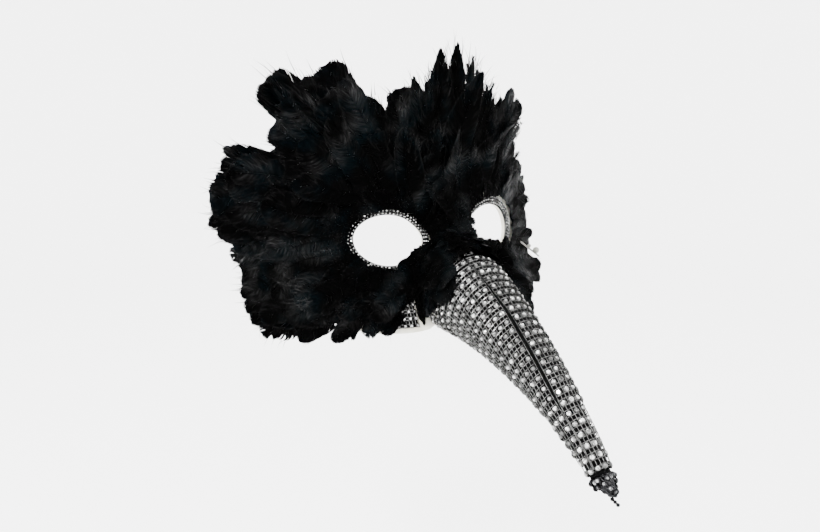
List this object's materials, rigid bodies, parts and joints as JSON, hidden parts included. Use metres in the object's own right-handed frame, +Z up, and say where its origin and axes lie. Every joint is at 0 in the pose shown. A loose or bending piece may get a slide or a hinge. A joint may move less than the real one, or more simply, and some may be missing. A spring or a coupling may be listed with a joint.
{
  "type": "plague doctor mask",
  "caption": "Half mask with a long down-curved hollow beak wrapped in stone mesh, two trimmed eye holes and a crest of overlapping black feathers.",
  "frame": {"origin": "inner face of the half mask at the nose bridge, midway between the eye holes, where the mask rests on the wearer", "axes": "+Z up as worn, the beak points to -Y, +X is the wearer's left, +Y is towards the wearer's head"},
  "size_m": [0.2224, 0.23, 0.216],
  "materials": {
    "moulded_shell": "pale thin moulded plastic, satin, bare",
    "backing_cloth": "black woven cloth glued to the beak",
    "rhinestone_mesh": "round facetted stones in a silvered net on black",
    "mesh_end": "gathered dark silver end of the net",
    "eyelet_metal": "black enamelled eyelet, rolled",
    "dyed_feather": "deep black dyed feather vane with a faint cool sheen",
    "bare_quill": "stripped dark horn-grey quill",
    "dried_glue": "grey dried glue beads"
  },
  "bodies": {
    "root": {"face_shell": "moulded_shell", "beak_shell": "moulded_shell", "beak_backing_cloth": "backing_cloth", "right_mesh_panel": "rhinestone_mesh", "left_mesh_panel": "rhinestone_mesh", "right_cheek_mesh": "rhinestone_mesh", "left_cheek_mesh": "rhinestone_mesh", "tip_wrap": "mesh_end", "tip_beads": "mesh_end", "right_eye_trim": "rhinestone_mesh", "left_eye_trim": "rhinestone_mesh", "right_eyelet": "eyelet_metal", "left_eyelet": "eyelet_metal", "right_crest_feathers": "dyed_feather", "left_crest_feathers": "dyed_feather", "right_crown_feathers": "dyed_feather", "left_crown_feathers": "dyed_feather", "right_temple_feathers": "dyed_feather", "left_temple_feathers": "dyed_feather", "right_brow_feathers": "dyed_feather", "left_brow_feathers": "dyed_feather", "right_cheek_feathers": "dyed_feather", "left_cheek_feathers": "dyed_feather", "right_jaw_feathers": "dyed_feather", "left_jaw_feathers": "dyed_feather", "stripped_quill": "bare_quill", "glue_beads": "dried_glue"}
  },
  "joints": []
}
